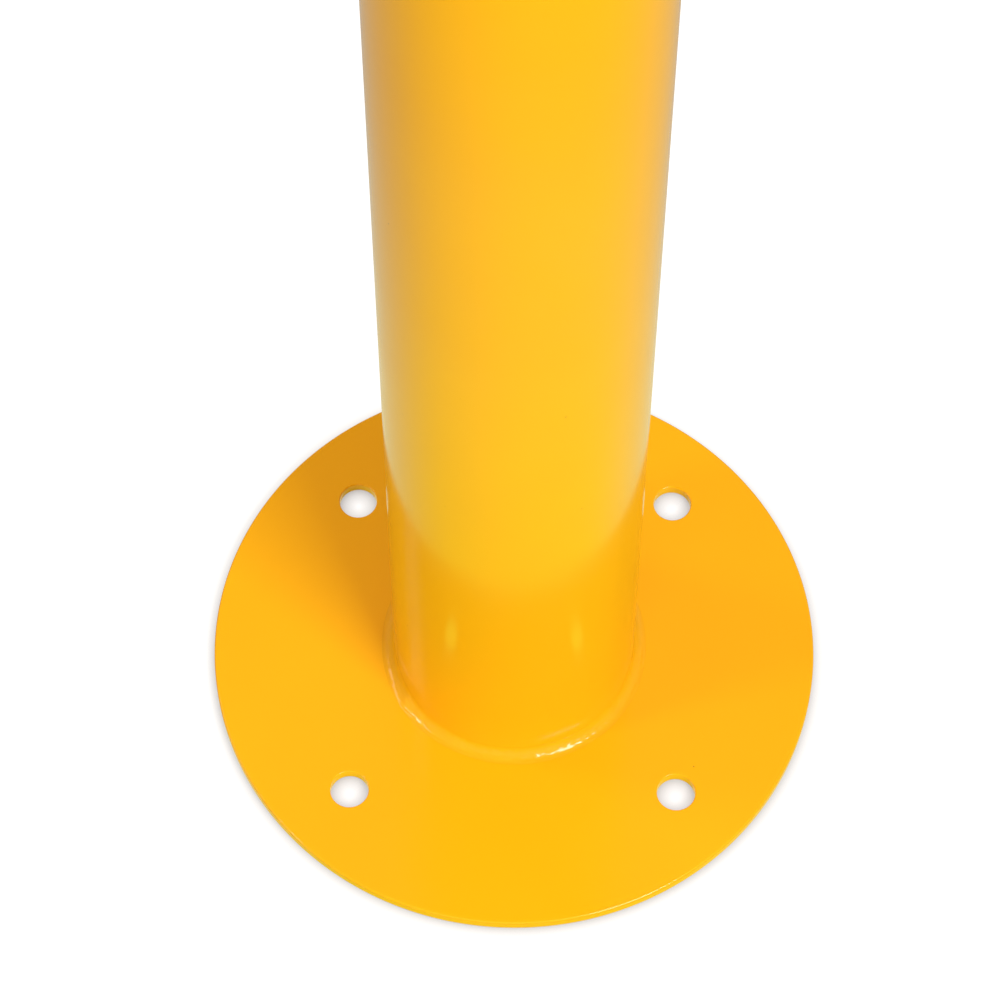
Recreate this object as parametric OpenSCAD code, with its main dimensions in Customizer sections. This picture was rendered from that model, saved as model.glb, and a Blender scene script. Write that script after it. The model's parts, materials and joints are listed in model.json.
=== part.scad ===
// Retractable bollard: a post that slides up out of a bolt-down casing and locks in its collar.
// Z is up, the origin is the centre of the base plate's underside, and all sizes are millimetres.
// The post is drawn lowered, with its top level with the cover ring and its lock open.

/* [Base plate] */
// Diameter of the base plate
plate_d = 287; // [250:1:400]
// Thickness of the base plate
plate_t = 6; // [4:0.5:20]
// Diameter of the circle through the anchor holes
bolt_circle_d = 217; // [190:1:300]
// Diameter of an anchor hole
bolt_hole_d = 18; // [10:0.5:26]
// Number of anchor holes
bolt_count = 4; // [3:1:12]
// Width of the broken edges of the plate and its holes
plate_edge = 0.8; // [0.2:0.1:2]
// Diameter of the drain hole in the middle of the plate
drain_d = 40; // [10:1:56]
// Leg of the fillet weld between plate and casing
weld_leg = 7; // [3:0.5:12]
// How far the weld's face swells past a flat fillet
weld_bulge = 0.8; // [0:0.1:1.5]

/* [Casing] */
// Outside diameter of the casing tube
casing_d = 114.3; // [113:0.1:150]
// Wall of the casing tube
casing_wall = 3.6; // [2.5:0.1:4.5]
// Height of the casing tube's top end above the ground
casing_h = 880; // [500:5:1300]
// Width of the bar that stops the post from turning
guide_key_w = 8; // [5:0.5:16]
// Thickness of that bar, across the gap between casing and post
guide_key_t = 5; // [3:0.1:6]
// Height of the rubber buffer under the post
buffer_h = 14; // [8:1:40]
// Inside diameter of the buffer
buffer_bore_d = 60; // [44:1:80]

/* [Collar] */
// Length of the collar inside the casing tube
collar_h = 110; // [100:1:160]
// Thickness of the collar's lip, on the end of the casing tube
collar_lip_t = 8; // [7:0.5:14]
// Thickness of the cover ring
cover_ring_t = 5; // [3.5:0.5:8]
// Height of a guide band
guide_band_h = 16; // [8:1:20]
// Radial thickness of a guide band
guide_band_t = 4; // [2:0.1:5]
// Number of screws through the casing tube into the collar
collar_screw_count = 6; // [3:1:10]
// Number of screws in the cover ring
cover_screw_count = 6; // [3:1:12]

/* [Post] */
// Outside diameter of the post
post_d = 88.9; // [74:0.1:90]
// Wall of the post tube
post_wall = 4; // [3.5:0.1:5]
// Height of the wear ring on the foot of the post
wear_ring_h = 18; // [10:1:30]
// Thickness of the foot's flange, which stops against the collar
foot_flange_t = 6; // [4:0.5:12]
// Thickness of the plate that holds the wear ring
retainer_t = 6; // [5:0.5:10]
// Height of a reflective band
reflector_h = 50; // [20:1:100]
// Thickness of a reflective band
reflector_t = 0.25; // [0.1:0.05:0.3]

/* [Lock] */
// Diameter of a lock bolt
bolt_d = 14; // [8:0.5:16]
// Length of a lock bolt
lock_bolt_len = 30; // [24:0.5:30]
// How far a bolt reaches into the collar
bolt_bite = 4.6; // [2:0.1:5]
// Quarter turn of the key that throws the bolts, in degrees
key_turn = 90; // [60:5:100]
// Diameter of the drive rod
rod_d = 10; // [8:0.5:14]
// Diameter of the key barrel
barrel_d = 20; // [18:0.5:24]
// Width across the flats of the key socket
key_af = 12; // [8:0.5:14]
// Depth of the key socket
key_depth = 18; // [10:1:20]
// Diameter of a follower pin
follower_d = 5; // [4:0.5:6]
// Thickness of the cam
cam_t = 6; // [4:0.5:8]

/* [Cap and handle] */
// Height of the cap above the post tube
cap_head_t = 12; // [10:0.5:20]
// Length of the cap inside the post tube
cap_plug_h = 24; // [20:1:40]
// Thickness of the seal between cap and post tube
cap_seal_t = 1; // [0.5:0.1:2]
// Depth of the handle's pocket
pocket_depth = 18; // [16:0.5:24]
// Thinnest wall beside the pocket
pocket_wall = 3; // [2:0.1:5]
// Diameter of the handle's bar
bail_d = 7; // [5:0.5:8]
// Diameter of the handle's pivot pins
bail_pin_d = 5; // [3:0.5:6]

/* [Clearances] */
// Gap between the post and its guide bands
slide_gap = 0.6; // [0.5:0.05:0.9]
// Gap between the post and the collar
collar_gap = 1.6; // [1.2:0.1:2.5]
// Gap between the wear ring and the casing
wear_gap = 0.45; // [0.3:0.05:1]
// Gap around a part that is pushed into place
seat_gap = 0.15; // [0.05:0.05:0.3]
// Gap around a pin, shaft or bolt that moves
run_gap = 0.1; // [0.05:0.01:0.15]
// Gap that clears a moving part
free_gap = 1.5; // [1:0.1:2]
// Gap between shafts and hubs that a cross pin joins
pinned_gap = 0.1; // [0.02:0.01:0.2]

/* [Hidden] */
$fn = 96;
eps = 0.01;

// Colours
YELLOW = [0.98, 0.71, 0.08];
STEEL = [0.72, 0.73, 0.74];
ZINC = [0.80, 0.80, 0.78];
BRASS = [0.80, 0.66, 0.33];
NYLON = [0.92, 0.91, 0.86];
RUBBER = [0.10, 0.10, 0.10];
REFLECT = [0.93, 0.94, 0.95];

// Longer than any cut has to be
reach = 60;

// Radii, from the outside in
casing_r = casing_d / 2;
casing_bore_r = casing_r - casing_wall;
collar_r = casing_bore_r - seat_gap;
post_r = post_d / 2;
post_bore_r = post_r - post_wall;
plug_r = post_bore_r - seat_gap;
collar_bore_r = post_r + collar_gap;
guide_r = post_r + slide_gap;
band_seat_r = guide_r + guide_band_t;
wear_ring_r = casing_bore_r - wear_gap;
foot_r = wear_ring_r - 2;
foot_hub_r = foot_r - 5;
foot_bore_r = foot_hub_r - 20;
guide_key_r = casing_bore_r - guide_key_t;
foot_notch_w = guide_key_w + 2 * free_gap;
foot_notch_r = guide_key_r - free_gap / 2;
seal_seat_r = guide_r + 3.4;
seal_h = 6;
seal_lip_h = 2.4;
seal_lip_t = 1.2;
cover_chamfer = 1;
cap_rim = 2;

// Socket screws: shank diameter, head diameter and length under the surface
M6 = [6, 12, 12];
M6_SHORT = [6, 12, casing_r - collar_bore_r - 2];
M6_LONG = [6, 12, retainer_t + 8];
M4 = [4, 7, cover_ring_t + 5];
csk_slope = 0.5; // depth of a head over the difference of its diameters
plug_wall = M6[2];

// Heights with the post lowered, from the ground up
buffer_top = plate_t + buffer_h;
retainer_top = buffer_top + retainer_t;
wear_ring_top = retainer_top + wear_ring_h;
foot_top = wear_ring_top + foot_flange_t;
spigot_h = 12;
block_z = foot_top + spigot_h + 4;
block_screw_room = 12;
bush_seat_h = 9;
block_h = block_screw_room + bolt_d + 1 + bush_seat_h;
block_top = block_z + block_h;
bolt_z = block_z + block_screw_room + bolt_d / 2;
bush_flange_t = 2;
cam_z = block_top + bush_flange_t + seat_gap;
cam_hub_h = 12;
lip_top = casing_h + collar_lip_t;
rim_z = lip_top + cover_ring_t;
post_end = rim_z - cap_head_t;
plug_z = post_end - cap_plug_h;
pocket_z = rim_z - pocket_depth;
lid_t = 2.2;
lid_gap = 0.3;
boss_top = rim_z - lid_t - lid_gap - 1.5;
collar_z = casing_h - collar_h;
upper_band_z = casing_h - 8 - guide_band_h;
lower_band_z = collar_z + 3;
collar_screw_z = casing_h - 45;
cap_screw_z = plug_z + 9;
block_screw_z = block_z + 7;
foot_screw_z = foot_top + spigot_h / 2;
reflector_top = collar_z - 10;

// Travel of the post, which ends as its foot meets the collar
stop_gap = 0.2;
travel = collar_z - foot_top - stop_gap;
groove_z = bolt_z + travel;

// Lock bolts: tip and follower pin, drawn in and thrown
bolt_tip_in = post_r - 0.8;
bolt_tip_out = collar_bore_r + bolt_bite;
throw = bolt_tip_out - bolt_tip_in;
follower_x = bolt_tip_in - lock_bolt_len + bolt_d / 2;
groove_r = bolt_tip_out + 1;
groove_h = bolt_d + 2 * free_gap;
cam_r = follower_x + throw + follower_d;

// Key barrel and the boss that holds it
barrel_r = barrel_d / 2;
barrel_head_r = barrel_r + 2;
barrel_head_t = 3;
boss_r = barrel_head_r + 2;
washer_t = 1.5;
clip_t = 1.3;
clip_groove = 1.2;
barrel_z = plug_z - 22;
clip_z = plug_z - seat_gap - washer_t - clip_t;
rod_socket_top = boss_top - key_depth - 6;
rod_top = rod_socket_top - 1;
rod_z = block_top - bush_seat_h;
cross_pin_d = 4;
cam_hub_r = rod_d / 2 + 5;
bush_r = rod_d / 2 + 2;
bolt_tip_chamfer = 1;
barrel_pin_z = barrel_z + 7;
cam_pin_z = cam_z + cam_t + cam_hub_h / 2;

// Handle: a bail that lies in a D-shaped pocket around the boss
pocket_r = plug_r - pocket_wall;
bail_eye_r = bail_pin_d / 2 + 2;
bail_pivot_y = 12;
bail_pivot_z = rim_z - bail_eye_r - 3.5;
pocket_back_y = bail_pivot_y + bail_eye_r + 2.5;
bail_bow_y = -(pocket_r - free_gap - bail_d / 2);
bail_x = sqrt(pow(pocket_r - free_gap, 2) - pow(bail_pivot_y + bail_eye_r, 2)) - bail_d / 2;
bail_eye_w = bail_d + 0.4;
ear_x = bail_x + bail_eye_w / 2 + 0.2;
ear_y = bail_pivot_y - 8;
bail_bow_d = bail_d - 0.8;
bail_pin_x = bail_x - bail_d / 2 + 1;
bail_pin_len = sqrt(post_r * post_r - bail_pivot_y * bail_pivot_y) - bail_pin_x - 0.6;

// Key cover: a lid hinged behind the barrel
lid_r = barrel_head_r + 1;
lid_z = boss_top + lid_gap;
hinge_r = 2.6;
hinge_pin_d = 3;
hinge_y = lid_r + 3;
hinge_z = rim_z - hinge_r;
knuckle_x = 6.5;
knuckle_gap = 0.3;
lug_x = 11;

module ring(outer_r, inner_r, z, h) {
    translate([0, 0, z]) difference() {
        cylinder(r = outer_r, h = h);
        translate([0, 0, -1]) cylinder(r = inner_r, h = h + 2);
    }
}

// A disc whose two rims are broken by edge
module broken_disc(r, h, edge) {
    rotate_extrude() polygon([[0, 0], [r - edge, 0], [r, edge], [r, h - edge],
                              [r - edge, h], [0, h]]);
}

// A hole's cutter, with its two mouths broken by edge
module broken_hole(r, h, edge) {
    rotate_extrude() polygon([[0, -1], [r + edge + 1, -1], [r, edge], [r, h - edge],
                              [r + edge + 1, h + 1], [0, h + 1]]);
}

module around(count, start = 0) {
    for (i = [0:count - 1]) rotate([0, 0, start + i * 360 / count]) children();
}

// Radius at which a screw's flat head lies wholly inside a tube of radius r
function sunk(r, screw) = sqrt(r * r - pow(screw[1] / 2, 2));

// A countersunk screw along -Z with its head's face at z = 0. grow widens it into its own hole
module screw(size, grow = 0) {
    head_r = size[1] / 2 + grow;
    shank_r = size[0] / 2 + grow;
    head_h = (size[1] - size[0]) * csk_slope;
    top = grow > 0 ? 5 : 0;
    rotate_extrude() polygon([[0, top], [head_r, top], [head_r, 0],
                              [shank_r, -head_h], [shank_r, -size[2]], [0, -size[2]]]);
}

module socket_screw(size) {
    socket_af = size[0] * 0.66;
    difference() {
        screw(size);
        translate([0, 0, -size[0] * 0.45]) cylinder(d = socket_af / cos(30), h = 5, $fn = 6);
    }
}

// A ring of screws that point inward, with their heads sunk in a tube of radius r
module radial(count, start, r, z, size) {
    around(count, start) translate([sunk(r, size), 0, z]) rotate([0, 90, 0]) children();
}

module collar_screw_places() {
    radial(collar_screw_count, 30, casing_r, collar_screw_z, M6_SHORT) children();
}
module cap_screw_places() radial(4, 45, post_r, cap_screw_z, M6) children();
module block_screw_places() radial(4, 45, post_r, block_screw_z, M6) children();
module foot_screw_places() radial(4, 45, post_r, foot_screw_z, M6) children();
module cover_screw_places() {
    around(cover_screw_count, 30)
        translate([(casing_r - cover_chamfer + seal_seat_r) / 2, 0, rim_z]) children();
}
module retainer_screw_places() {
    around(4, 45)
        translate([(foot_hub_r + foot_bore_r) / 2 - 2, 0, buffer_top])
            rotate([180, 0, 0]) children();
}

// ---- Casing ----

module base_plate() {
    color(YELLOW) difference() {
        broken_disc(plate_d / 2, plate_t, plate_edge);
        broken_hole(drain_d / 2, plate_t, plate_edge);
        around(bolt_count, 45) translate([bolt_circle_d / 2, 0, 0])
            broken_hole(bolt_hole_d / 2, plate_t, plate_edge / 2);
    }
}

module casing_tube() {
    color(YELLOW) difference() {
        ring(casing_r, casing_bore_r, plate_t, casing_h - plate_t);
        collar_screw_places() screw(M6_SHORT, seat_gap);
    }
}

// Fillet weld with a slightly swollen face
module base_weld() {
    face = [for (s = [0:1 / 8:1]) let (swell = 4 * s * (1 - s) * weld_bulge) [
        casing_r + weld_leg * (1 - s) + swell, plate_t + weld_leg * s + swell]];
    color(YELLOW) rotate_extrude() polygon(concat([[casing_r, plate_t]], face));
}

module guide_key() {
    color(ZINC) intersection() {
        translate([-guide_key_w / 2, guide_key_r, buffer_top])
            cube([guide_key_w, casing_d, collar_z - buffer_top - 1]);
        cylinder(r = casing_bore_r, h = casing_h);
    }
}

// Rubber ring with water ways beneath it
module buffer_ring() {
    way_w = 6;
    way_h = 4;
    color(RUBBER) difference() {
        ring(foot_r, buffer_bore_d / 2, plate_t, buffer_h);
        around(4, 45) translate([0, -way_w / 2, plate_t - 1]) cube([casing_r, way_w, way_h + 1]);
    }
}

// ---- Collar ----

module collar() {
    color(ZINC) difference() {
        union() {
            ring(collar_r, collar_bore_r, collar_z, collar_h + eps);
            ring(casing_r, collar_bore_r, casing_h, collar_lip_t);
        }
        for (z = [lower_band_z, upper_band_z])
            translate([0, 0, z]) cylinder(r = band_seat_r + seat_gap, h = guide_band_h);
        translate([0, 0, groove_z - groove_h / 2]) cylinder(r = groove_r, h = groove_h);
        translate([0, 0, lip_top - seal_h]) cylinder(r = seal_seat_r + seat_gap, h = seal_h + 1);
        collar_screw_places() screw(M6_SHORT, eps);
        cover_screw_places() screw(M4, eps);
    }
}

module collar_screws() color(STEEL) collar_screw_places() socket_screw(M6_SHORT);

// A split ring in its groove
module guide_band(z) {
    split = 3;
    color(NYLON) difference() {
        ring(band_seat_r, guide_r, z, guide_band_h);
        translate([0, -split / 2, z - 1]) cube([casing_r, split, guide_band_h + 2]);
    }
}
module upper_guide_band() guide_band(upper_band_z);
module lower_guide_band() guide_band(lower_band_z);

// Seal with a lip that leans up against the post
module wiper_seal() {
    color(RUBBER) rotate_extrude() polygon([
        [seal_seat_r, lip_top - seal_h], [seal_seat_r, lip_top],
        [(seal_seat_r + guide_r) / 2 + 0.1, lip_top], [guide_r, lip_top + seal_lip_h],
        [guide_r, lip_top + seal_lip_h - seal_lip_t], [guide_r + seal_lip_t, lip_top - seal_h / 3],
        [guide_r + 0.2, lip_top - seal_h]]);
}

module cover_ring() {
    color(STEEL) difference() {
        rotate_extrude() polygon([
            [collar_bore_r, lip_top], [casing_r, lip_top], [casing_r, rim_z - cover_chamfer],
            [casing_r - cover_chamfer, rim_z], [collar_bore_r + cover_chamfer, rim_z],
            [collar_bore_r, rim_z - cover_chamfer]]);
        cover_screw_places() screw(M4, seat_gap);
        translate([0, 0, lip_top - 1]) cylinder(r1 = seal_seat_r, r2 = guide_r - 0.6, h = 2 * seal_lip_h);
    }
}

module cover_screws() color(STEEL) cover_screw_places() socket_screw(M4);

// ---- Post ----

module post_tube() {
    color(YELLOW) difference() {
        ring(post_r, post_bore_r, foot_top, post_end - cap_seal_t - foot_top);
        translate([-post_d, 0, bolt_z]) rotate([0, 90, 0])
            cylinder(d = bolt_d + 2 * run_gap, h = 2 * post_d);
        cap_screw_places() screw(M6, seat_gap);
        block_screw_places() screw(M6, seat_gap);
        foot_screw_places() screw(M6, seat_gap);
    }
}

// The notch that runs along the guide key
module foot_notch(z, h) {
    translate([-foot_notch_w / 2, foot_notch_r, z - 1]) cube([foot_notch_w, casing_r, h + 2]);
}

module post_foot() {
    color(ZINC) difference() {
        union() {
            translate([0, 0, retainer_top]) cylinder(r = foot_hub_r, h = wear_ring_h + eps);
            translate([0, 0, wear_ring_top]) cylinder(r = foot_r, h = foot_flange_t);
            translate([0, 0, foot_top - eps]) cylinder(r = plug_r, h = spigot_h + eps);
        }
        translate([0, 0, retainer_top - 1]) cylinder(r = foot_bore_r, h = reach);
        foot_notch(retainer_top, wear_ring_h + foot_flange_t);
        foot_screw_places() screw(M6, eps);
        retainer_screw_places() screw(M6_LONG, eps);
    }
}

module foot_screws() color(STEEL) foot_screw_places() socket_screw(M6);

module foot_wear_ring() {
    color(NYLON) difference() {
        ring(wear_ring_r, foot_hub_r + seat_gap, retainer_top, wear_ring_h);
        foot_notch(retainer_top, wear_ring_h);
    }
}

module foot_retainer() {
    color(ZINC) difference() {
        ring(foot_r, foot_bore_r, buffer_top, retainer_t);
        foot_notch(buffer_top, retainer_t);
        retainer_screw_places() screw(M6_LONG, seat_gap);
    }
}

module retainer_screws() color(STEEL) retainer_screw_places() socket_screw(M6_LONG);

module reflective_band(top) {
    color(REFLECT) ring(post_r + reflector_t, post_r, top - reflector_h, reflector_h);
}
module reflective_band_upper() reflective_band(reflector_top);
module reflective_band_lower() reflective_band(reflector_top - 2 * reflector_h);

// ---- Cap ----

// The pocket's outline: a circle with a flat back, two ears for the pins and the boss left standing
module pocket_outline() {
    difference() {
        circle(r = pocket_r);
        translate([-post_r, pocket_back_y]) square([post_d, post_r]);
        for (side = [0, 1]) mirror([side, 0])
            translate([ear_x, ear_y]) square([post_r, post_r]);
        circle(r = boss_r);
        translate([-lug_x, 0]) square([2 * lug_x, post_r]);
    }
}

module hinge_lugs() {
    for (side = [0, 1]) mirror([side, 0, 0])
        translate([knuckle_x + knuckle_gap, hinge_y, hinge_z]) rotate([0, 90, 0])
            cylinder(r = hinge_r, h = lug_x - knuckle_x - knuckle_gap);
}

module bail_pin_places() {
    for (side = [0, 1]) mirror([side, 0, 0])
        translate([bail_pin_x, bail_pivot_y, bail_pivot_z]) rotate([0, 90, 0]) children();
}

module hinge_pin_bore(grow) {
    translate([-lug_x - 1, hinge_y, hinge_z]) rotate([0, 90, 0])
        cylinder(d = hinge_pin_d + 2 * grow, h = 2 * lug_x + 2);
}

module cap_blank() {
    rim_arc = [for (a = [0:15:90])
        [post_r - cap_rim + cap_rim * cos(a), cap_head_t - cap_rim + cap_rim * sin(a)]];
    translate([0, 0, plug_z]) cylinder(r = plug_r, h = cap_plug_h + eps);
    translate([0, 0, post_end]) rotate_extrude()
        polygon(concat([[0, 0], [post_r, 0]], rim_arc, [[0, cap_head_t]]));
}

// What is cut out of the top of the cap for the lid, its arm and its knuckle
module lid_recess() {
    knuckle_y = hinge_y - hinge_r - 1;
    wide_x = lug_x + 0.5;
    knuckle_half = knuckle_x + knuckle_gap;
    translate([0, 0, boss_top]) cylinder(r = boss_r + 0.5, h = reach);
    translate([-wide_x, 0, boss_top]) cube([2 * wide_x, knuckle_y, reach]);
    translate([-wide_x, 0, hinge_z]) cube([2 * wide_x, pocket_back_y, reach]);
    translate([-knuckle_half, knuckle_y, hinge_z - hinge_r - 0.5])
        cube([2 * knuckle_half, pocket_back_y - knuckle_y, reach]);
}

// The plug is hollow beneath the pocket, but for the boss
module plug_hollow() {
    floor_t = 5;
    translate([0, 0, plug_z - 1]) difference() {
        cylinder(r = plug_r - plug_wall, h = pocket_z - floor_t - plug_z + 1);
        cylinder(r = boss_r, h = reach);
    }
}

module post_cap() {
    drain_hole_d = 5;
    drain_x = boss_r + 6;
    drain_y = -10;
    color(YELLOW) difference() {
        union() {
            difference() {
                cap_blank();
                translate([0, 0, pocket_z]) linear_extrude(pocket_depth + 1) pocket_outline();
                lid_recess();
            }
            hinge_lugs();
        }
        plug_hollow();
        translate([0, 0, plug_z - 1]) cylinder(r = barrel_r + run_gap, h = reach);
        translate([0, 0, boss_top - barrel_head_t - seat_gap])
            cylinder(r = barrel_head_r + seat_gap, h = reach);
        for (x = [-drain_x, drain_x]) translate([x, drain_y, plug_z - 1])
            cylinder(d = drain_hole_d, h = pocket_z - plug_z + 2);
        bail_pin_places() cylinder(d = bail_pin_d + 2 * eps, h = reach);
        hinge_pin_bore(eps);
        cap_screw_places() screw(M6, eps);
    }
}

module cap_seal() color(RUBBER) ring(post_r, plug_r + seat_gap, post_end - cap_seal_t, cap_seal_t);

module cap_screws() color(STEEL) cap_screw_places() socket_screw(M6);

module handle_pins() color(STEEL) bail_pin_places() cylinder(d = bail_pin_d, h = bail_pin_len);

// ---- Lift handle ----

module lift_handle() {
    bow_y = bail_bow_y + bail_x;
    leg_overlap = 1;
    color(STEEL) translate([0, 0, bail_pivot_z]) difference() {
        union() {
            translate([0, bow_y, 0]) rotate([0, 0, 180]) rotate_extrude(angle = 180)
                translate([bail_x, 0]) circle(d = bail_bow_d);
            for (side = [-1, 1]) {
                translate([side * bail_x, bow_y - leg_overlap, 0]) rotate([-90, 0, 0])
                    cylinder(d = bail_d, h = bail_pivot_y - bow_y + leg_overlap);
                translate([side * bail_x - bail_eye_w / 2, bail_pivot_y, 0]) rotate([0, 90, 0])
                    cylinder(r = bail_eye_r, h = bail_eye_w);
            }
        }
        translate([-post_r, bail_pivot_y, 0]) rotate([0, 90, 0])
            cylinder(d = bail_pin_d + 2 * run_gap, h = post_d);
    }
}

// ---- Key cover ----

module key_cover() {
    color(STEEL) difference() {
        union() {
            translate([0, 0, lid_z]) broken_disc(lid_r, lid_t, 0.4);
            translate([-knuckle_x, 0, lid_z]) cube([2 * knuckle_x, hinge_y, lid_t]);
            translate([-knuckle_x, hinge_y, hinge_z]) rotate([0, 90, 0])
                cylinder(r = hinge_r, h = 2 * knuckle_x);
        }
        hinge_pin_bore(run_gap);
    }
}

module key_cover_pin() {
    color(STEEL) translate([-lug_x, hinge_y, hinge_z]) rotate([0, 90, 0])
        cylinder(d = hinge_pin_d, h = 2 * lug_x);
}

// ---- Lock shaft ----

module cross_pin(r, z, grow = 0) {
    translate([-r - grow, 0, z]) rotate([0, 90, 0])
        cylinder(d = cross_pin_d + 2 * grow, h = 2 * (r + grow));
}

module key_barrel() {
    color(BRASS) difference() {
        union() {
            translate([0, 0, barrel_z]) cylinder(r = barrel_r, h = boss_top - barrel_z);
            translate([0, 0, boss_top - barrel_head_t]) cylinder(r = barrel_head_r, h = barrel_head_t);
        }
        translate([0, 0, boss_top - key_depth]) cylinder(d = key_af / cos(30), h = reach, $fn = 6);
        translate([0, 0, barrel_z - 1])
            cylinder(r = rod_d / 2 + pinned_gap, h = rod_socket_top - barrel_z + 1);
        ring(barrel_r + 1, barrel_r - clip_groove, clip_z, clip_t);
        cross_pin(barrel_r + 1, barrel_pin_z, eps);
    }
}

module thrust_washer() {
    color(NYLON) ring(barrel_r + 3.5, barrel_r + pinned_gap, clip_z + clip_t, washer_t);
}

module barrel_clip() {
    mouth = 4;
    color(STEEL) difference() {
        ring(barrel_r + 2, barrel_r - clip_groove + eps, clip_z, clip_t);
        translate([0, -mouth / 2, clip_z - 1]) cube([2 * barrel_r, mouth, clip_t + 2]);
    }
}

module drive_rod() {
    color(STEEL) difference() {
        translate([0, 0, rod_z]) cylinder(d = rod_d, h = rod_top - rod_z);
        cross_pin(barrel_r, barrel_pin_z, eps);
        cross_pin(barrel_r, cam_pin_z, eps);
    }
}

module barrel_cross_pin() color(STEEL) cross_pin(barrel_r - 0.3, barrel_pin_z);
module cam_cross_pin() color(STEEL) cross_pin(cam_hub_r - 0.3, cam_pin_z);

// Slot along which a follower pin runs outward as the cam turns
module cam_slot() {
    half_w = follower_d / 2 + free_gap / 4;
    steps = 18;
    centre = [for (i = [0:steps]) let (a = -key_turn * i / steps)
        [follower_x + throw * i / steps, a]];
    outer = [for (p = centre) [(p[0] + half_w) * cos(p[1]), (p[0] + half_w) * sin(p[1])]];
    inner = [for (i = [steps:-1:0]) let (p = centre[i])
        [(p[0] - half_w) * cos(p[1]), (p[0] - half_w) * sin(p[1])]];
    translate([0, 0, cam_z - 1]) linear_extrude(cam_t + 2) union() {
        polygon(concat(outer, inner));
        for (p = [centre[0], centre[steps]])
            translate([p[0] * cos(p[1]), p[0] * sin(p[1])]) circle(r = half_w);
    }
}

module lock_cam() {
    color(ZINC) difference() {
        union() {
            translate([0, 0, cam_z]) cylinder(r = cam_r, h = cam_t);
            translate([0, 0, cam_z]) cylinder(r = cam_hub_r, h = cam_t + cam_hub_h);
        }
        translate([0, 0, cam_z - 1]) cylinder(r = rod_d / 2 + pinned_gap, h = reach);
        for (side = [0, 180]) rotate([0, 0, side]) cam_slot();
        cross_pin(cam_hub_r + 1, cam_pin_z, eps);
    }
}

// ---- Lock block and bolts ----

module rod_bush() {
    color(NYLON) difference() {
        union() {
            translate([0, 0, rod_z]) cylinder(r = bush_r, h = block_top - rod_z + eps);
            translate([0, 0, block_top]) cylinder(r = bush_r + 3, h = bush_flange_t);
        }
        translate([0, 0, rod_z - 1]) cylinder(r = rod_d / 2 + run_gap, h = reach);
    }
}

module lock_block() {
    slot_w = follower_d + 2 * seat_gap;
    color(ZINC) difference() {
        translate([0, 0, block_z]) cylinder(r = plug_r, h = block_h);
        translate([-post_r, 0, bolt_z]) rotate([0, 90, 0])
            cylinder(d = bolt_d + 2 * run_gap, h = post_d);
        translate([0, 0, rod_z]) cylinder(r = bush_r + eps, h = block_h);
        for (side = [0, 180]) rotate([0, 0, side]) {
            translate([follower_x, -slot_w / 2, bolt_z]) cube([throw, slot_w, block_h]);
            for (x = [follower_x, follower_x + throw])
                translate([x, 0, bolt_z]) cylinder(d = slot_w, h = block_h);
        }
        block_screw_places() screw(M6, eps);
    }
}

module block_screws() color(STEEL) block_screw_places() socket_screw(M6);

module lock_bolt(side) {
    color(STEEL) rotate([0, 0, side]) difference() {
        translate([bolt_tip_in - lock_bolt_len, 0, bolt_z]) rotate([0, 90, 0])
            broken_disc(bolt_d / 2, lock_bolt_len, bolt_tip_chamfer);
        translate([follower_x, 0, bolt_z]) cylinder(d = follower_d + 2 * eps, h = bolt_d);
    }
}
module lock_bolt_right() lock_bolt(0);
module lock_bolt_left() lock_bolt(180);

module follower_pin(side) {
    color(STEEL) rotate([0, 0, side]) translate([follower_x, 0, bolt_z])
        cylinder(d = follower_d, h = cam_z + cam_t - bolt_z);
}
module follower_pin_right() follower_pin(0);
module follower_pin_left() follower_pin(180);

base_plate();
casing_tube();
base_weld();
guide_key();
buffer_ring();
collar();
collar_screws();
upper_guide_band();
lower_guide_band();
wiper_seal();
cover_ring();
cover_screws();
post_tube();
post_foot();
foot_screws();
foot_wear_ring();
foot_retainer();
retainer_screws();
reflective_band_upper();
reflective_band_lower();
post_cap();
cap_seal();
cap_screws();
handle_pins();
lift_handle();
key_cover();
key_cover_pin();
key_barrel();
thrust_washer();
barrel_clip();
drive_rod();
barrel_cross_pin();
cam_cross_pin();
lock_cam();
rod_bush();
lock_block();
block_screws();
lock_bolt_right();
lock_bolt_left();
follower_pin_right();
follower_pin_left();
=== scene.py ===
"""The looks of a retractable bollard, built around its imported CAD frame. Metres, Z up."""

import json
import math
import random

import bmesh
import bpy
from mathutils import Matrix, Vector, noise


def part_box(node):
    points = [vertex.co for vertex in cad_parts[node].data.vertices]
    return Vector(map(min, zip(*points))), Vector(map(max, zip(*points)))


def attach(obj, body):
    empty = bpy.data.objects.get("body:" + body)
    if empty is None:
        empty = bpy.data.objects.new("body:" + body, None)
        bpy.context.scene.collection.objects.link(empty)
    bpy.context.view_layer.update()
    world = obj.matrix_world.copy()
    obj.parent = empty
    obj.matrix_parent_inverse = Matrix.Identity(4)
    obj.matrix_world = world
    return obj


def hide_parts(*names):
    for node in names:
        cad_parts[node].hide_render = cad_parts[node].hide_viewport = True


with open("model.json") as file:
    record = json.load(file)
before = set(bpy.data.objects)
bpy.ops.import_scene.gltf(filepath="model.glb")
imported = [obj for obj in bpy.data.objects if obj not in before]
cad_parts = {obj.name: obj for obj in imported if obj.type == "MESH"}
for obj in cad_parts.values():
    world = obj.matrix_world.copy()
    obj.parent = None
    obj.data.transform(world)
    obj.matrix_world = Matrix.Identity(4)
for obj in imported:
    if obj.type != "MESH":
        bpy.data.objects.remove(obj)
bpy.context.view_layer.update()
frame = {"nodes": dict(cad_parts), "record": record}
NODES = frame["nodes"]
MM = 0.001

# ---- Camera and studio ----

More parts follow.
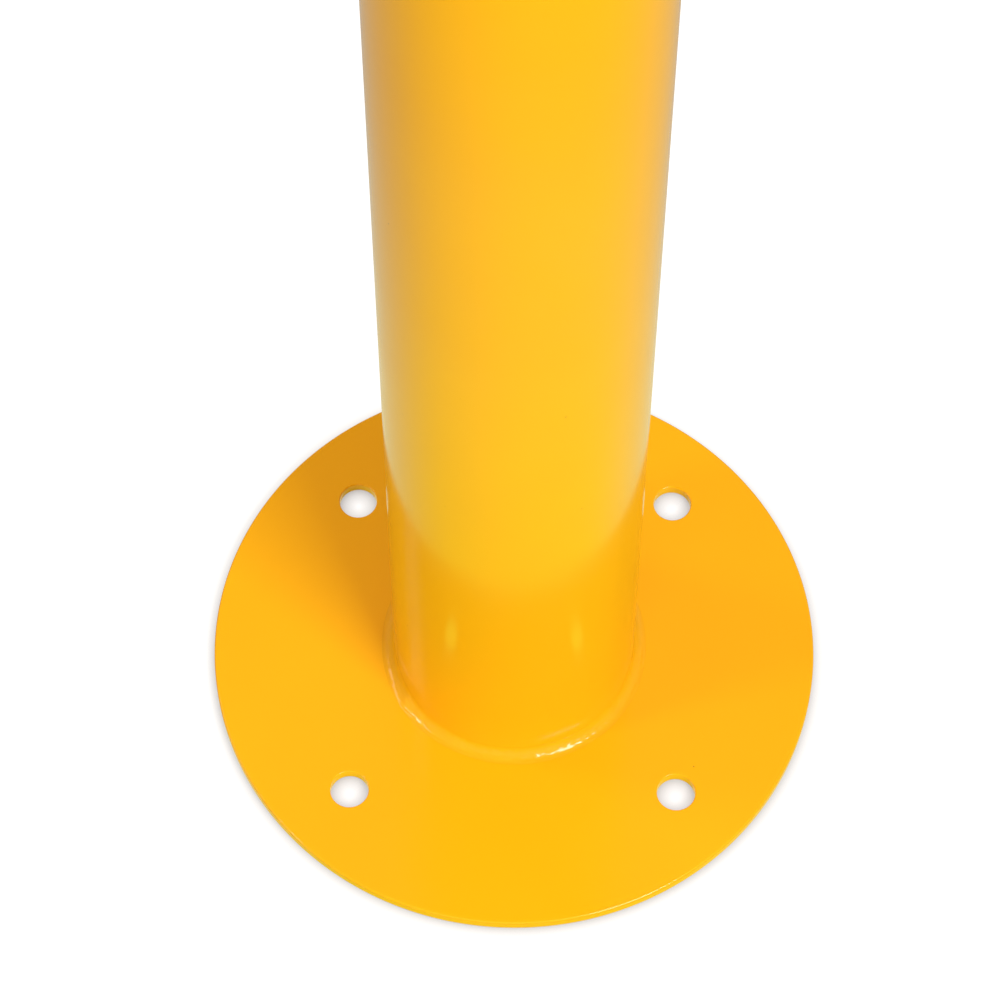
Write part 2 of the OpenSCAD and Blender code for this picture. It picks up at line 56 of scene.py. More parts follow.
CAMERA_PLACE = Vector((-0.0004, -0.7821, 1.6213))
CAMERA_PITCH = math.radians(61.97)   # below the horizon
CAMERA_YAW = 0.0082
CAMERA_ROLL = 0.0016
CAMERA_LENS_MM = 134.7
KEY_LIGHT_FROM = Vector((1.24, -1.72, 2.0))


def add_camera():
    data = bpy.data.cameras.new("camera")
    data.lens = CAMERA_LENS_MM
    data.sensor_width = 36
    data.clip_start = 0.01
    camera = bpy.data.objects.new("camera", data)
    turn = Matrix.Rotation(CAMERA_YAW, 4, "Z")
    tilt = Matrix.Rotation(math.pi / 2 - CAMERA_PITCH, 4, "X")
    roll = Matrix.Rotation(CAMERA_ROLL, 4, "Z")
    camera.matrix_world = Matrix.Translation(CAMERA_PLACE) @ turn @ tilt @ roll
    bpy.context.scene.collection.objects.link(camera)
    bpy.context.scene.camera = camera


def add_softbox(name, place, target, size, power, mirrored=True, colour=(1, 1, 1)):
    """A softbox. One that isn't mirrored lights the object without showing in its gloss."""
    data = bpy.data.lights.new(name, "AREA")
    data.shape = "RECTANGLE"
    data.size, data.size_y = size
    data.energy = power
    data.color = colour
    light = bpy.data.objects.new(name, data)
    light.location = place
    light.visible_glossy = mirrored
    light.visible_camera = False
    light.rotation_euler = (Vector(place) - Vector(target)).to_track_quat("Z", "Y").to_euler()
    bpy.context.scene.collection.objects.link(light)


def add_world():
    """Soft surroundings over a white backdrop. The ground close by shows in the gloss as a strong yellow
    in front and a warm white behind; further off it is dim on the camera's side and brighter behind the
    object. The sky is brightest halfway up, and the light it sheds is warm."""
    world = bpy.data.worlds.new("studio")
    world.use_nodes = True
    tree = world.node_tree

    def node(kind, **sockets):
        made = tree.nodes.new(kind)
        for key, value in sockets.items():
            socket = made.inputs[key.replace("_", " ")]
            if isinstance(value, bpy.types.NodeSocket):
                tree.links.new(value, socket)
            else:
                socket.default_value = value
        return made

    def span(value, low, high, out_low, out_high):
        made = node("ShaderNodeMapRange", Value=value, From_Min=low, From_Max=high,
                    To_Min=out_low, To_Max=out_high)
        made.interpolation_type = "SMOOTHSTEP"
        return made.outputs["Result"]

    def mix(factor, first, second):
        return node("ShaderNodeMapRange", Value=factor, To_Min=first, To_Max=second).outputs["Result"]

    toward = node("ShaderNodeSeparateXYZ", Vector=node("ShaderNodeTexCoord").outputs["Generated"]).outputs
    ray = node("ShaderNodeLightPath").outputs
    behind = span(toward["Y"], -0.5, 0.6, 0.0, 1.0)
    steep = span(toward["Z"], -0.895, -0.81, 1.0, 0.0)
    rear = span(toward["Y"], -0.25, 0.6, 0.0, 1.0)
    right = span(toward["X"], 0.1, 0.5, 0.0, 1.0)
    above = span(toward["Z"], -0.05, 0.05, 0.0, 1.0)
    ground = mix(steep, mix(behind, 0.15, 0.5), mix(behind, 1.45, 0.90))
    ground_blue = mix(steep, mix(right, 0.9, 0.8), mix(rear, 0.06, mix(right, 0.60, 0.52)))
    sky = mix(span(toward["Z"], 0.70, 0.84, 0.0, 1.0), span(toward["Z"], 0.0, 0.4, 0.22, 0.5), 0.26)
    warmth = mix(above, 0.0, ray["Is Diffuse Ray"])
    background = tree.nodes["Background"]
    colour = node("ShaderNodeCombineColor", Red=1.0, Green=mix(warmth, 1.0, 0.74),
                  Blue=mix(ray["Is Camera Ray"], mix(above, ground_blue, mix(warmth, 1.0, 0.5)), 1.0))
    tree.links.new(colour.outputs["Color"], background.inputs["Color"])
    tree.links.new(mix(ray["Is Camera Ray"], mix(above, ground, sky), 1.0), background.inputs["Strength"])
    bpy.context.scene.world = world


class Shader:
    """A material with a Principled BSDF, and short names for the nodes that feed it."""

    def __init__(self, name, **sockets):
        self.material = bpy.data.materials.new(name)
        self.material.use_nodes = True
        self.tree = self.material.node_tree
        self.bsdf = self.tree.nodes["Principled BSDF"]
        self.place = self.tree.nodes.new("ShaderNodeTexCoord").outputs["Object"]
        for key, value in sockets.items():
            self.bsdf.inputs[key.replace("_", " ")].default_value = value

    def feed(self, socket, source):
        """Links a node's output to the socket, or sets the socket to a number."""
        if isinstance(source, bpy.types.NodeSocket):
            self.tree.links.new(source, socket)
        else:
            socket.default_value = source

    def math(self, operation, *values):
        node = self.tree.nodes.new("ShaderNodeMath")
        node.operation = operation
        for socket, value in zip(node.inputs, values):
            self.feed(socket, value)
        return node.outputs[0]

    def split(self):
        node = self.tree.nodes.new("ShaderNodeSeparateXYZ")
        self.feed(node.inputs[0], self.place)
        return node.outputs

    def join(self, x, y, z):
        node = self.tree.nodes.new("ShaderNodeCombineXYZ")
        for socket, value in zip(node.inputs, (x, y, z)):
            self.feed(socket, value)
        return node.outputs[0]

    def noise(self, scale, detail=2.0, rough=0.5, vector=None):
        node = self.tree.nodes.new("ShaderNodeTexNoise")
        self.feed(node.inputs["Vector"], vector or self.place)
        node.inputs["Scale"].default_value = scale
        node.inputs["Detail"].default_value = detail
        node.inputs["Roughness"].default_value = rough
        return node.outputs["Fac"]

    def cells(self, scale):
        node = self.tree.nodes.new("ShaderNodeTexVoronoi")
        self.feed(node.inputs["Vector"], self.place)
        node.inputs["Scale"].default_value = scale
        return node.outputs["Distance"]

    def span(self, value, low, high, out_low=0.0, out_high=1.0):
        node = self.tree.nodes.new("ShaderNodeMapRange")
        node.interpolation_type = "SMOOTHSTEP"
        for key, number in (("From Min", low), ("From Max", high), ("To Min", out_low), ("To Max", out_high)):
            node.inputs[key].default_value = number
        self.feed(node.inputs["Value"], value)
        return node.outputs["Result"]

    def blend(self, factor, first, second):
        node = self.tree.nodes.new("ShaderNodeMix")
        node.data_type = "RGBA"
        self.feed(node.inputs["Factor"], factor)
        colours = [s for s in node.inputs if s.type == "RGBA"]
        for socket, value in zip(colours, (first, second)):
            self.feed(socket, value if isinstance(value, bpy.types.NodeSocket) else (*value, 1))
        return [s for s in node.outputs if s.type == "RGBA"][0]

    def bump(self, height, depth_mm, after=None):
        node = self.tree.nodes.new("ShaderNodeBump")
        node.inputs["Strength"].default_value = 1.0
        node.inputs["Distance"].default_value = depth_mm * MM
        self.feed(node.inputs["Height"], height)
        if after is not None:
            self.tree.links.new(after, node.inputs["Normal"])
        return node.outputs["Normal"]

    def edge(self, radius_mm):
        """The normal of a surface whose sharp edges are broken to this radius."""
        node = self.tree.nodes.new("ShaderNodeBevel")
        node.samples = 6
        node.inputs["Radius"].default_value = radius_mm * MM
        return node.outputs["Normal"]

    def finish(self, colour, roughness, normal=None):
        self.feed(self.bsdf.inputs["Base Color"], colour)
        self.feed(self.bsdf.inputs["Roughness"], roughness)
        if normal is not None:
            self.tree.links.new(normal, self.bsdf.inputs["Normal"])
        return self.material

    def radius(self):
        x, y, _ = self.split()
        return self.math("SQRT", self.math("ADD", self.math("MULTIPLY", x, x), self.math("MULTIPLY", y, y)))

    def angle(self):
        x, y, _ = self.split()
        return self.math("ARCTAN2", y, x)


YELLOW = (0.88, 0.442, 0.0045)
YELLOW_DEEP = (0.87, 0.432, 0.004)


def enamel(name, painted_shade=1.0):
    """Gloss yellow enamel: a little uneven, with orange peel, fine scuffs and rare specks of dust.
    A factor under 1 darkens the whole colour as painted shade."""
    s = Shader(name, Specular_IOR_Level=0.34)
    cloud = s.noise(9, 3)
    # painted shade: both tones are darkened by the given factor
    light, deep = ([painted_shade * c for c in tone] for tone in (YELLOW, YELLOW_DEEP))
    colour = s.blend(s.span(cloud, 0.35, 0.65), light, deep)
    speck = s.span(s.cells(95), 0.028, 0.042, 1.0, 0.0)
    rare = s.span(s.noise(31, 1), 0.57, 0.61)
    colour = s.blend(s.math("MULTIPLY", speck, rare), colour, (0.42, 0.19, 0.01))
    scuffs = s.span(s.noise(320, 2), 0.62, 0.75, 0.0, 0.06)
    rough = s.math("ADD", s.span(s.noise(24, 4), 0.3, 0.7, 0.11, 0.15), scuffs)
    peel = s.bump(s.noise(340, 2), 0.008)
    wave = s.bump(s.noise(38, 1), 0.03, peel)
    return s.finish(colour, rough, wave)


def turned_steel(name, colour=(0.74, 0.74, 0.73), rough=0.24):
    """Stainless steel turned on a lathe: fine rings about the Z axis, and a few handling marks."""
    s = Shader(name, Metallic=1.0)
    up = s.math("MULTIPLY", s.split()[2], 5200)
    rings = s.noise(1, 3, 0.6, s.join(s.math("MULTIPLY", s.radius(), 5200), up, 0.0))
    smudge = s.noise(60, 4)
    tint = s.blend(s.span(smudge, 0.35, 0.7), colour, tuple(0.86 * c for c in colour))
    roughness = s.math("ADD", s.span(rings, 0.3, 0.7, rough - 0.06, rough + 0.07),
                       s.span(smudge, 0.5, 0.75, 0.0, 0.10))
    return s.finish(tint, roughness, s.bump(rings, 0.008, s.edge(0.35)))


def satin_steel(name, colour=(0.74, 0.74, 0.73)):
    """Forged stainless steel, blasted and polished: fine even grain, rubbed brighter in places."""
    s = Shader(name, Metallic=1.0)
    grain = s.noise(900, 3)
    rubbed = s.noise(48, 4)
    tint = s.blend(s.span(rubbed, 0.35, 0.7), colour, tuple(0.90 * c for c in colour))
    roughness = s.math("ADD", s.span(grain, 0.3, 0.7, 0.22, 0.27), s.span(rubbed, 0.5, 0.75, 0.0, 0.08))
    return s.finish(tint, roughness, s.edge(0.3))


def zinc(name):
    """Zinc-plated steel with its faint spangle."""
    s = Shader(name, Metallic=1.0)
    spangle = s.cells(210)
    tint = s.blend(s.span(spangle, 0.1, 0.7), (0.66, 0.67, 0.68), (0.60, 0.61, 0.61))
    tint = s.blend(s.span(s.noise(45, 3), 0.4, 0.8, 0.0, 0.06), tint, (0.62, 0.60, 0.53))
    return s.finish(tint, s.span(s.noise(150, 4), 0.3, 0.7, 0.30, 0.38),
                    s.bump(s.noise(500, 3), 0.005, s.edge(0.3)))


def brass(name):
    s = Shader(name, Metallic=1.0)
    tarnish = s.noise(120, 4)
    tint = s.blend(s.span(tarnish, 0.4, 0.7), (0.86, 0.62, 0.27), (0.70, 0.47, 0.18))
    rings = s.noise(1, 3, 0.6, s.join(s.math("MULTIPLY", s.radius(), 5200), 0.0, 0.0))
    return s.finish(tint, s.span(tarnish, 0.3, 0.7, 0.22, 0.42), s.bump(rings, 0.008, s.edge(0.35)))


def nylon(name):
    """Machined engineering plastic, off-white, slightly waxy."""
    s = Shader(name, Specular_IOR_Level=0.4, Subsurface_Weight=0.08, Subsurface_Scale=0.004)
    tint = s.blend(s.span(s.noise(55, 3), 0.35, 0.7), (0.78, 0.75, 0.66), (0.70, 0.66, 0.56))
    up = s.math("MULTIPLY", s.split()[2], 3000)
    rings = s.noise(1, 2, 0.6, s.join(s.math("MULTIPLY", s.radius(), 3000), up, 0.0))
    return s.finish(tint, s.span(s.noise(160, 3), 0.3, 0.7, 0.42, 0.56), s.bump(rings, 0.01, s.edge(0.4)))


def rubber(name):
    s = Shader(name, Specular_IOR_Level=0.35)
    dust = s.span(s.noise(140, 5), 0.5, 0.75, 0.0, 0.35)
    tint = s.blend(dust, (0.016, 0.016, 0.017), (0.11, 0.105, 0.095))
    return s.finish(tint, s.span(s.noise(90, 3), 0.3, 0.7, 0.62, 0.82),
                    s.bump(s.noise(900, 3), 0.03, s.edge(0.4)))


def reflective(name):
    """White prismatic film wrapped round the post: a honeycomb of raised seams about pearly cells."""
    s = Shader(name, Specular_IOR_Level=0.6, Coat_Weight=0.5, Coat_Roughness=0.06)
    film_r = 44.7 * MM
    cells_round = 64
    cell = 2 * math.pi * film_r / cells_round
    row = math.sqrt(3)
    across = s.math("MULTIPLY", s.angle(), cells_round / (2 * math.pi))
    up = s.math("DIVIDE", s.split()[2], cell)

    def from_centre(shift):
        """How far a point lies from the middle of its cell in one of the two interleaved grids."""
        u = s.math("SUBTRACT", s.math("FLOORED_MODULO", s.math("ADD", across, shift / 2), 1.0), 0.5)
        v = s.math("SUBTRACT", s.math("FLOORED_MODULO", s.math("ADD", up, shift * row / 2), row), row / 2)
        u, v = s.math("ABSOLUTE", u), s.math("ABSOLUTE", v)
        return s.math("MAXIMUM", u, s.math("ADD", s.math("MULTIPLY", u, 0.5), s.math("MULTIPLY", v, row / 2)))

    edge = s.math("SUBTRACT", 0.5, s.math("MINIMUM", from_centre(0), from_centre(1)))
    pearl = s.blend(s.noise(14, 2), (0.56, 0.58, 0.61), (0.63, 0.64, 0.66))
    tint = s.blend(s.span(edge, 0.02, 0.05), (0.36, 0.38, 0.41), pearl)
    return s.finish(tint, s.span(edge, 0.0, 0.08, 0.36, 0.18), s.bump(s.span(edge, 0.07, 0.01), 0.03))


def studio_floor():
    """White sweep, lit from within, with a painted contact shadow: the glow dims where something stands close
    on it.
    """
    s = Shader("studio_floor", Specular_IOR_Level=0.2, Emission_Color=(1, 1, 1, 1))
    # painted contact shadow: ambient occlusion within 9 mm dims the floor's glow next to the object
    painted_contact_shadow = s.tree.nodes.new("ShaderNodeAmbientOcclusion")
    painted_contact_shadow.samples = 12
    painted_contact_shadow.inputs["Distance"].default_value = 9 * MM
    s.feed(s.bsdf.inputs["Emission Strength"], s.math("MULTIPLY_ADD", painted_contact_shadow.outputs["AO"], 0.88, 0.11))
    return s.finish(s.blend(s.noise(3, 2), (0.155, 0.155, 0.155), (0.165, 0.165, 0.165)), 0.6)


def make_materials():
    return {"casing_paint": enamel("casing_paint"), "post_paint": enamel("post_paint"),
            # the weld's paint is darkened as painted shade, to offset the extra light its sloping face
            # catches
            "weld_paint_painted_shade": enamel("weld_paint_painted_shade", 0.91),
            "zinc_steel": zinc("zinc_steel"), "stainless_steel": turned_steel("stainless_steel"),
            "handle_steel": satin_steel("handle_steel"), "key_brass": brass("key_brass"),
            "guide_plastic": nylon("guide_plastic"), "black_rubber": rubber("black_rubber"),
            "reflective_film": reflective("reflective_film")}


# ---- Mesh helpers ----

def make_piece(name, mesh, material, body, slot, *replaced):
    obj = add_object(name, mesh)
    shade(obj, material)
    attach(obj, body)
    if replaced:
        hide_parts(*replaced)
    return obj


def add_object(name, mesh):
    obj = bpy.data.objects.new(name, mesh)
    bpy.context.scene.collection.objects.link(obj)
    return obj


def as_mesh(bm, name):
    """The mesh that a bmesh holds. The bmesh is freed."""
    mesh = bpy.data.meshes.new(name)
    bm.to_mesh(mesh)
    bm.free()
    return mesh


def bridge(bm, rows):
    """Faces between each closed row of vertices and the next."""
    for lower, upper in zip(rows, rows[1:]):
        for k in range(len(lower)):
            after = (k + 1) % len(lower)
            bm.faces.new((lower[k], lower[after], upper[after], upper[k]))


def carve(obj, tool, operation="DIFFERENCE"):
    cut = obj.modifiers.new("cut", "BOOLEAN")
    cut.object = tool
    cut.operation = operation
    cut.solver = "EXACT"


def soften(obj, voxel_mm, rounds):
    """Gives the object one even skin, with its edges and corners rounded off."""
    skin = obj.modifiers.new("skin", "REMESH")
    skin.mode = "VOXEL"
    skin.voxel_size = voxel_mm * MM
    soft = obj.modifiers.new("soft", "SMOOTH")
    soft.factor = 0.5
    soft.iterations = rounds


def baked(obj, *tools):
    """The object's mesh with its modifiers applied. The object and its tools are removed."""
    bpy.context.view_layer.update()
    mesh = bpy.data.meshes.new_from_object(obj.evaluated_get(bpy.context.evaluated_depsgraph_get()))
    for used in (*tools, obj):
        bpy.data.objects.remove(used)
    return mesh


def swept_ring(name, section, steps):
    """A closed ring whose cross-section, section(angle), is a list of (radius, height) points."""
    rows = [[(r * math.cos(a), r * math.sin(a), z) for r, z in section(a)]
            for a in (2 * math.pi * i / steps for i in range(steps))]
    count = len(rows[0])
    faces = [(i * count + j, i * count + (j + 1) % count,
              (i + 1) % steps * count + (j + 1) % count, (i + 1) % steps * count + j)
             for i in range(steps) for j in range(count)]
    mesh = bpy.data.meshes.new(name)
    mesh.from_pydata([v for row in rows for v in row], [], faces)
    tidy_normals(mesh)
    return mesh


def rounded_outline(radius, half, round_r, steps=6):
    """A (radius, height) outline of a disc that reaches half each way, with rounded rims."""
    return ([(0.0, -half)] + quarter((radius - round_r, -half + round_r), round_r, -90, steps)
            + quarter((radius - round_r, half - round_r), round_r, 0, steps) + [(0.0, half)])


def solid_of_revolution(name, outline, steps, place=Matrix.Identity(4)):
    """A closed solid turned from an outline that starts and ends on the axis; returns the object."""
    bm = bmesh.new()
    turns = [2 * math.pi * k / steps for k in range(steps)]
    rows = [[bm.verts.new(place @ Vector((r * math.cos(a), r * math.sin(a), z))) for a in turns]
            for r, z in outline[1:-1]]
    bridge(bm, rows)
    for (_, z), row in ((outline[0], rows[0]), (outline[-1], rows[-1])):
        tip = bm.verts.new(place @ Vector((0, 0, z)))
        for k in range(steps):
            bm.faces.new((row[k], row[(k + 1) % steps], tip))
    bmesh.ops.recalc_face_normals(bm, faces=bm.faces)
    return add_object(name, as_mesh(bm, name))


def tidy_normals(mesh, angle=35):
    bm = bmesh.new()
    bm.from_mesh(mesh)
    bmesh.ops.recalc_face_normals(bm, faces=bm.faces)
    bm.to_mesh(mesh)
    bm.free()
    mesh.shade_smooth()
    mesh.set_sharp_from_angle(angle=math.radians(angle))


def quarter(centre, radius, start, steps=6):
    """Points of a quarter circle in a (radius, height) section, from the angle start in degrees."""
    return [(centre[0] + radius * math.cos(math.radians(start + 90 * i / steps)),
             centre[1] + radius * math.sin(math.radians(start + 90 * i / steps))) for i in range(steps + 1)]


# ---- Base plate ----

def base_plate():
    """The plate with paint-softened edges: a turned disc, less four anchor holes and the drain."""
    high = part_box("base_plate")[1]
    radius, top = high.x, high.z
    holes = next(m["dims"] for m in frame["record"]["mounts"] if m["name"] == "anchor_holes")
    edge = 1.1 * MM
    drain = 20 * MM
    outline = (quarter((radius - edge, edge), edge, -90) + quarter((radius - edge, top - edge), edge, 0)
               + [(drain + edge, top)] + quarter((drain + edge, top - edge), edge, 90)[1:]
               + quarter((drain + edge, edge), edge, 180))
    blank = add_object("plate_blank", swept_ring("plate_blank", lambda a: outline, 360))
    lip = 0.7 * MM
    hole_r = holes["hole_r_mm"] * MM
    beyond = 2 * MM
    flare = ([(0, -beyond), (hole_r + lip, -beyond)]
             + [(hole_r + lip - lip * math.sin(t), lip - lip * math.cos(t))
                for t in (math.pi / 2 * i / 6 for i in range(7))])
    flare += [(r, top - z) for r, z in reversed(flare)]
    cutters = []
    for i in range(holes["count"]):
        turn = Matrix.Rotation(math.radians(45 + i * 360 / holes["count"]), 4, "Z")
        place = turn @ Matrix.Translation((holes["pcd_mm"] / 2 * MM, 0, 0))
        cutters.append(solid_of_revolution("hole_cutter", flare, 96, place))
        carve(blank, cutters[-1])
    mesh = baked(blank, *cutters)
    tidy_normals(mesh, 30)
    piece = make_piece("painted_base_plate", mesh, materials["casing_paint"],
                       "casing", "casing_paint", "base_plate")
    piece.modifiers.new("weighted", "WEIGHTED_NORMAL").keep_sharp = True


# ---- Tubes ----

SCREW_R = 6 * MM                                                 # an M6 screw's countersunk head
SEAT_R, SEAT_SHANK_R, SEAT_DEPTH = 6.15 * MM, 3.15 * MM, 3 * MM  # the seat that it lies in
COLLAR_SCREWS = (835 * MM, 30, 6)                                # height, first angle, count
FOOT_SCREWS = (56 * MM, 45, 4)
BLOCK_SCREWS = (73 * MM, 45, 4)
CAP_SCREWS = (866 * MM, 45, 4)
BOLT_BORES = (85 * MM, 7.1 * MM)                                 # height, radius


def tube(node, name, body, slot, wall, screw_rows, bores=()):
    """A painted tube with softened ends. Its screw rows are (height, first angle, count), each screw in its
    countersunk seat; its bores are (height, radius), drilled right through along X."""
    low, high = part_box(node)
    outer, inner = high.x, high.x - wall
    edge = 0.5 * MM
    margin = 10 * MM
    cuts = sorted({z for z, _, _ in screw_rows} | {z for z, _ in bores})
    levels = [low.z + edge]
    for z in cuts:
        levels += [max(levels[-1], z - margin), min(z + margin, high.z - edge)]
    levels = sorted({round(z, 6) for z in levels[1:]} - {round(high.z - edge, 6)})
    outline = (quarter((outer - edge, low.z + edge), edge, -90, 3) + [(outer, z) for z in levels]
               + quarter((outer - edge, high.z - edge), edge, 0, 3)
               + quarter((inner + edge, high.z - edge), edge, 90, 3)
               + [(inner, z) for z in reversed(levels)] + quarter((inner + edge, low.z + edge), edge, 180, 3))
    blank = add_object(name + "_blank", swept_ring(name + "_blank", lambda a: outline, 360))
    seat = [(0, -3 * SEAT_DEPTH), (SEAT_SHANK_R, -3 * SEAT_DEPTH), (SEAT_SHANK_R, -SEAT_DEPTH),
            (SEAT_R, 0), (SEAT_R, SEAT_DEPTH), (0, SEAT_DEPTH)]
    sunk = math.sqrt(outer ** 2 - SCREW_R ** 2)
    tools = []
    for z, start, count in screw_rows:
        for i in range(count):
            turn = Matrix.Rotation(math.radians(start + i * 360 / count), 4, "Z")
            place = turn @ Matrix.Translation((sunk, 0, z)) @ Matrix.Rotation(math.pi / 2, 4, "Y")
            tools.append(solid_of_revolution("seat", seat, 64, place))
    for z, radius in bores:
        place = Matrix.Translation((0, 0, z)) @ Matrix.Rotation(math.pi / 2, 4, "Y")
        tools.append(solid_of_revolution("bore", rounded_outline(radius, 2 * outer, 0.1 * MM, 1), 96, place))
    for tool in tools:
        carve(blank, tool)
    mesh = baked(blank, *tools)
    tidy_normals(mesh, 30)
    piece = make_piece(name, mesh, materials[slot], body, slot, node)
    piece.modifiers.new("weighted", "WEIGHTED_NORMAL").keep_sharp = True


# ---- Weld ----

RIPPLES = 96


def base_weld():
    """The painted fillet weld: a smooth hollow bead with soft lumps, a rolled outer toe and faint ripples."""
    low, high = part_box("base_weld")
    plate_top = low.z
    tube_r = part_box("casing_tube")[1].x
    leg = min(high.x - tube_r, high.z - low.z)
    rng = random.Random(7)
    # angle in degrees, height in mm and half-width in degrees of each lump; the last three end a run of bead
    lumps = [(rng.uniform(0, 360), rng.uniform(0.10, 0.30), rng.uniform(3, 9)) for _ in range(26)]
    lumps += [(212, 0.55, 4), (221, 0.35, 3), (320, 0.5, 5)]

    def wander(a, scale, seed):
        return noise.noise(Vector((math.cos(a) * scale, math.sin(a) * scale, seed)))

    def section(a):
        width = leg * (0.93 + 0.07 * wander(a, 2.6, 1.7))
        height = leg * (0.92 + 0.08 * wander(a, 3.0, 6.1))
        fullness = 0.05 + 0.18 * wander(a, 2.2, 11.3)
        lump = 0.0
        for at, size, spread in lumps:
            gap = (math.degrees(a) - at + 180) % 360 - 180
            lump += size * MM * math.exp(-(gap / spread) ** 2)
        points = []
        count = 30
        for k in range(count + 1):
            t = k / count
            turn = math.pi / 2 * t
            belly = math.sin(math.pi * t) ** 2
            r = width * (1 - math.cos(turn))
            z = height * (1 - math.sin(turn))
            r += fullness * belly * (width * t - r)
            z += fullness * belly * (height * (1 - t) - z)
            broken = max(0.0, 0.2 + 1.9 * wander(a, 6.5, 3.0)) * (0.75 + 0.9 * wander(a, 24, 8.0))
            ridge = 0.28 * MM * math.exp(-((t - 0.85) / 0.06) ** 2) * broken
            bead = 0.16 * MM * belly * wander(a, 16 + 5 * t, 2.0 + 3 * t)
            ripple = 0.02 * MM * math.sin(RIPPLES * a - 5 * t * t) * belly * (1 + wander(a, 5, 9.0))
            out = math.sqrt(0.5) * (belly * 0.7 * lump + ridge + bead + ripple)
            points.append((min(tube_r + leg, tube_r + r + out), min(plate_top + leg, plate_top + z + out)))
        points[0] = (tube_r - 0.02 * MM, points[0][1])
        points[-1] = (points[-1][0], plate_top - 0.02 * MM)
        return points + [(tube_r - 0.3 * MM, plate_top - 0.3 * MM)]

    mesh = swept_ring("base_weld", section, 1080)
    make_piece("painted_base_weld", mesh, materials["weld_paint_painted_shade"], "casing", "casing_paint", "base_weld")


# ---- Castings ----

def cast(node, name, voxel_mm, rounds, body, slot):
    """The CAD node again, with its sharp edges and corners softened as a casting's are."""
    bm = bmesh.new()
    bm.from_mesh(NODES[node].data)
    bmesh.ops.remove_doubles(bm, verts=bm.verts, dist=0.002 * MM)
    blank = add_object(name + "_blank", as_mesh(bm, name))
    soften(blank, voxel_mm, rounds)
    mesh = baked(blank)
    mesh.shade_smooth()
    make_piece(name, mesh, materials[slot], body, slot, node)


# ---- Lift handle ----

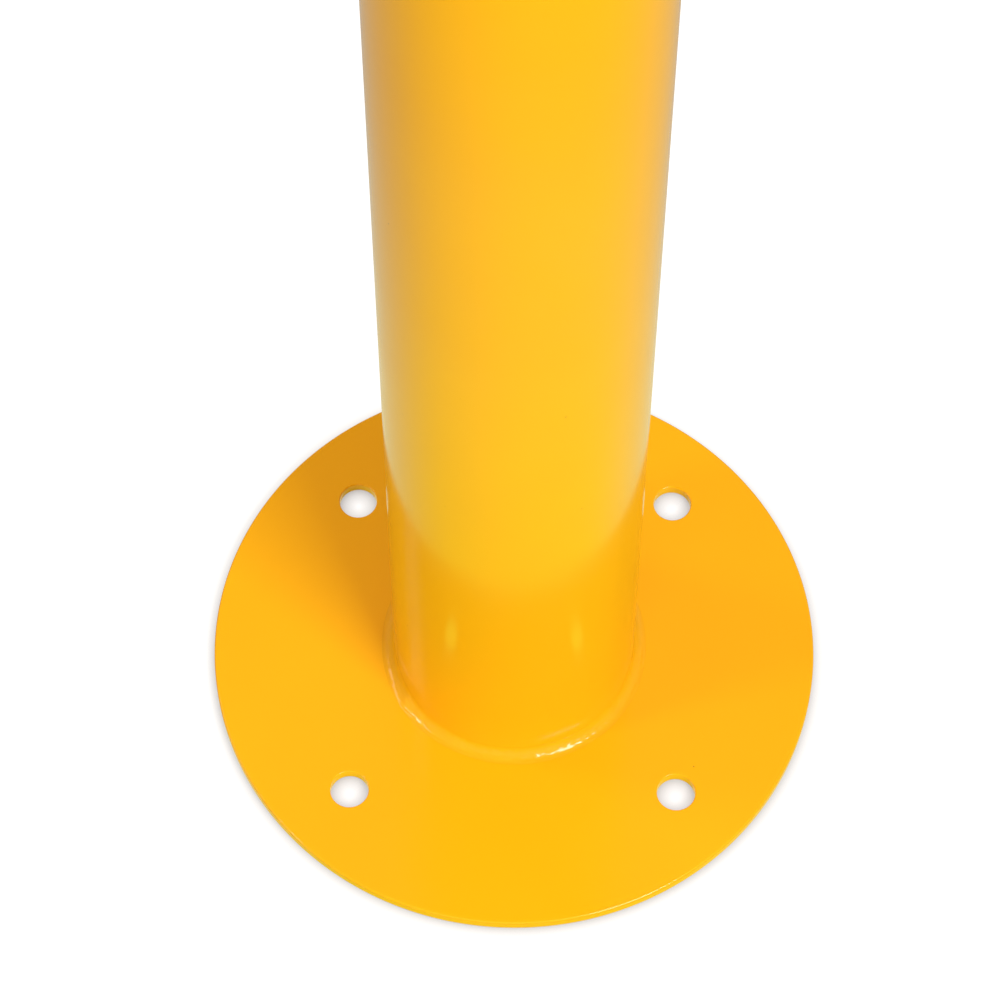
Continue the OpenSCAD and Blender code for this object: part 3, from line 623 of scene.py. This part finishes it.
def lift_handle():
    """A forged bail: one round bar whose ends swell into eyes, with the dies' soft fillets."""
    low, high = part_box("lift_handle")
    bar_r = 3.1 * MM
    leg_r = 3.5 * MM
    eye_r = (high.z - low.z) / 2
    eye_half = 3.7 * MM
    bore_r = 2.6 * MM
    height = (low.z + high.z) / 2
    bow_r = high.x - eye_half
    pivot_y = high.y - eye_r
    bow_y = low.y + bar_r + bow_r
    leg = [pivot_y + (bow_y - pivot_y) * k / 12 for k in range(13)]
    path = ([(bow_r, y) for y in leg[:-1]]
            + [(bow_r * math.cos(a), bow_y - bow_r * math.sin(a))
               for a in (math.pi * k / 96 for k in range(97))]
            + [(-bow_r, y) for y in leg[-2::-1]])
    lengths = [0.0]
    for first, second in zip(path, path[1:]):
        lengths.append(lengths[-1] + math.dist(first, second))
    steps = 40
    bm = bmesh.new()
    rows = []
    for k, (x, y) in enumerate(path):
        before = Vector(path[max(0, k - 1)])
        after = Vector(path[min(len(path) - 1, k + 1)])
        along = (after - before).normalized()
        side = Vector((along.y, -along.x))
        from_end = min(lengths[k], lengths[-1] - lengths[k])
        r = bar_r + (leg_r - bar_r) / (1 + math.exp((from_end - 13 * MM) / (2.5 * MM)))
        rows.append([bm.verts.new((x + side.x * r * math.cos(t), y + side.y * r * math.cos(t),
                                   height + r * math.sin(t)))
                     for t in (2 * math.pi * i / steps for i in range(steps))])
    bridge(bm, rows)
    bm.faces.new(list(reversed(rows[0])))
    bm.faces.new(rows[-1])
    bmesh.ops.recalc_face_normals(bm, faces=bm.faces)
    bail = add_object("bail_bar", as_mesh(bm, "bail_bar"))
    turned = Matrix(((0, 0, 1), (1, 0, 0), (0, 1, 0))).to_4x4()
    tools = []
    for side in (1, -1):
        place = Matrix.Translation((side * bow_r, pivot_y, height)) @ turned
        eye = solid_of_revolution("bail_eye", rounded_outline(eye_r, eye_half, 1.0 * MM), 72, place)
        bore = solid_of_revolution("bail_bore", rounded_outline(bore_r, 2 * eye_half, 0.1 * MM), 60, place)
        carve(bail, eye, "UNION")
        carve(bail, bore)
        tools += [eye, bore]
    soften(bail, 0.34, 9)
    mesh = baked(bail, *tools)
    mesh.shade_smooth()
    make_piece("forged_bail", mesh, materials["handle_steel"], "handle", "stainless_steel", "lift_handle")


# ---- Scene ----

def shade(obj, material):
    obj.data.materials.clear()
    obj.data.materials.append(material)


def add_floor():
    half = 30.0
    mesh = bpy.data.meshes.new("floor")
    corners = [(-half, -half, 0), (half, -half, 0), (half, half, 0), (-half, half, 0)]
    mesh.from_pydata(corners, [], [(0, 1, 2, 3)])
    floor = add_object("floor", mesh)
    shade(floor, studio_floor())
    floor.visible_glossy = False
    floor.visible_diffuse = False


add_camera()
add_world()
add_softbox("key", KEY_LIGHT_FROM, (0, 0, 0.2), (1.1, 0.85), 62)
add_softbox("kicker", (-1.6, -0.6, 1.5), (0, 0, 0.1), (0.28, 0.28), 6)
add_softbox("strip", (-1.9, 0.5, 2.3), (0, 0, 0.6), (0.5, 1.8), 9)
add_softbox("overhead", (0, 0, 3.5), (0, 0, 0), (4, 4), 25, mirrored=False, colour=(1.0, 0.70, 0.35))
add_softbox("front", (0.3, -3.3, 1.0), (0, 0, 0.3), (4, 2), 42, mirrored=False)
add_softbox("left", (-3.2, -1.1, 0.9), (0, 0, 0.3), (2, 1.8), 13, mirrored=False)
add_softbox("rear", (0.8, 3.2, 1.6), (0, 0, 0.4), (4, 3), 25, mirrored=False)
add_floor()
bpy.context.scene.view_settings.view_transform = "Standard"

materials = make_materials()
for part in frame["record"]["subparts"]:
    shade(NODES[part["node"]], materials[part["material_slot"]])

base_plate()
base_weld()
tube("casing_tube", "painted_casing", "casing", "casing_paint", 3.6 * MM, [COLLAR_SCREWS])
tube("post_tube", "painted_post", "post", "post_paint", 4 * MM,
     [FOOT_SCREWS, BLOCK_SCREWS, CAP_SCREWS], [BOLT_BORES])
lift_handle()
cast("post_cap", "cast_cap", 0.5, 5, "post", "post_paint")
cast("key_cover", "cast_lid", 0.22, 5, "cover", "stainless_steel")
